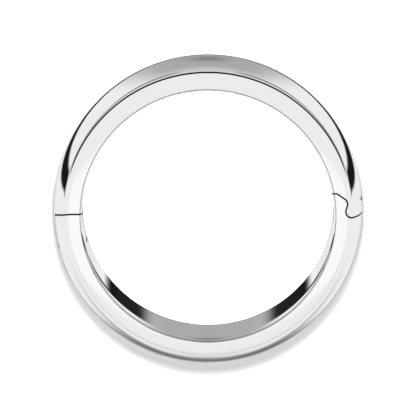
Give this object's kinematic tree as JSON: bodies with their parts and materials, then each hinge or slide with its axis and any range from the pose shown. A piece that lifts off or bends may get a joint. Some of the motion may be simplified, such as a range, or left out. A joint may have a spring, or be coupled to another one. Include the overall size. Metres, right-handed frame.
{
  "type": "hinged band ring",
  "caption": "Domed finger ring in two halves that opens on a hidden hinge and closes with a hooked catch.",
  "frame": {"origin": "centre of the side face that the ring lies on", "axes": "+Z along the finger axis, away from the surface it lies on; +X towards the catch, so the hinge is at -X; +Y towards the middle of the upper half"},
  "size_m": [0.0212, 0.0212, 0.007],
  "materials": {
    "band_metal": "mirror-polished white metal, such as silver or white gold",
    "pin_metal": "drawn white metal wire, as cut"
  },
  "bodies": {
    "upper": {"upper_band": "band_metal"},
    "lower": {"lower_band": "band_metal", "hinge_pin": "pin_metal"}
  },
  "joints": [
    {"name": "band_hinge", "type": "hinge", "parent": "upper", "child": "lower", "pos_m": [-0.00942, -0.00172, 0.0035], "axis": [0, 0, -1], "range_deg": [0, 60]}
  ]
}
